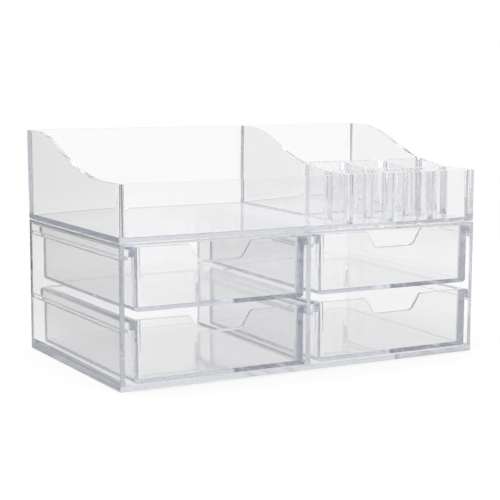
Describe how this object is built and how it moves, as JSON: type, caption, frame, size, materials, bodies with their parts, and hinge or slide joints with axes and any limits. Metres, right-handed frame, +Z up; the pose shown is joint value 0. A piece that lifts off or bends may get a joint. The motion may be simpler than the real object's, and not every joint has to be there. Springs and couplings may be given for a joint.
{
  "type": "makeup organizer drawers",
  "caption": "Clear moulded vanity organizer: a two-bay case whose drawers hang on side rails, under a lift-off tray with an S-curved rim, lipstick slots and open compartments.",
  "frame": {"origin": "centre of the drawer case's footprint, on its underside", "axes": "+Z up, the drawers open towards -Y, +X to the right seen from the front"},
  "size_m": [0.24, 0.1439, 0.1371],
  "materials": {
    "clear_plastic": "polished clear polystyrene or acrylic"
  },
  "bodies": {
    "case": {"drawer_case": "clear_plastic"},
    "tray": {"top_tray": "clear_plastic"},
    "upper_left_drawer": {"upper_left_drawer": "clear_plastic"},
    "upper_right_drawer": {"upper_right_drawer": "clear_plastic"},
    "lower_left_drawer": {"lower_left_drawer": "clear_plastic"},
    "lower_right_drawer": {"lower_right_drawer": "clear_plastic"}
  },
  "joints": [
    {"name": "tray_lift", "type": "slide", "parent": "case", "child": "tray", "axis": [0, 0, 1], "range_m": [0, 0.06]},
    {"name": "upper_left_slide", "type": "slide", "parent": "case", "child": "upper_left_drawer", "axis": [0, -1, 0], "range_m": [-0.005, 0.105]},
    {"name": "upper_right_slide", "type": "slide", "parent": "case", "child": "upper_right_drawer", "axis": [0, -1, 0], "range_m": [-0.0035, 0.105]},
    {"name": "lower_left_slide", "type": "slide", "parent": "case", "child": "lower_left_drawer", "axis": [0, -1, 0], "range_m": [-0.005, 0.105]},
    {"name": "lower_right_slide", "type": "slide", "parent": "case", "child": "lower_right_drawer", "axis": [0, -1, 0], "range_m": [-0.0035, 0.105]}
  ]
}
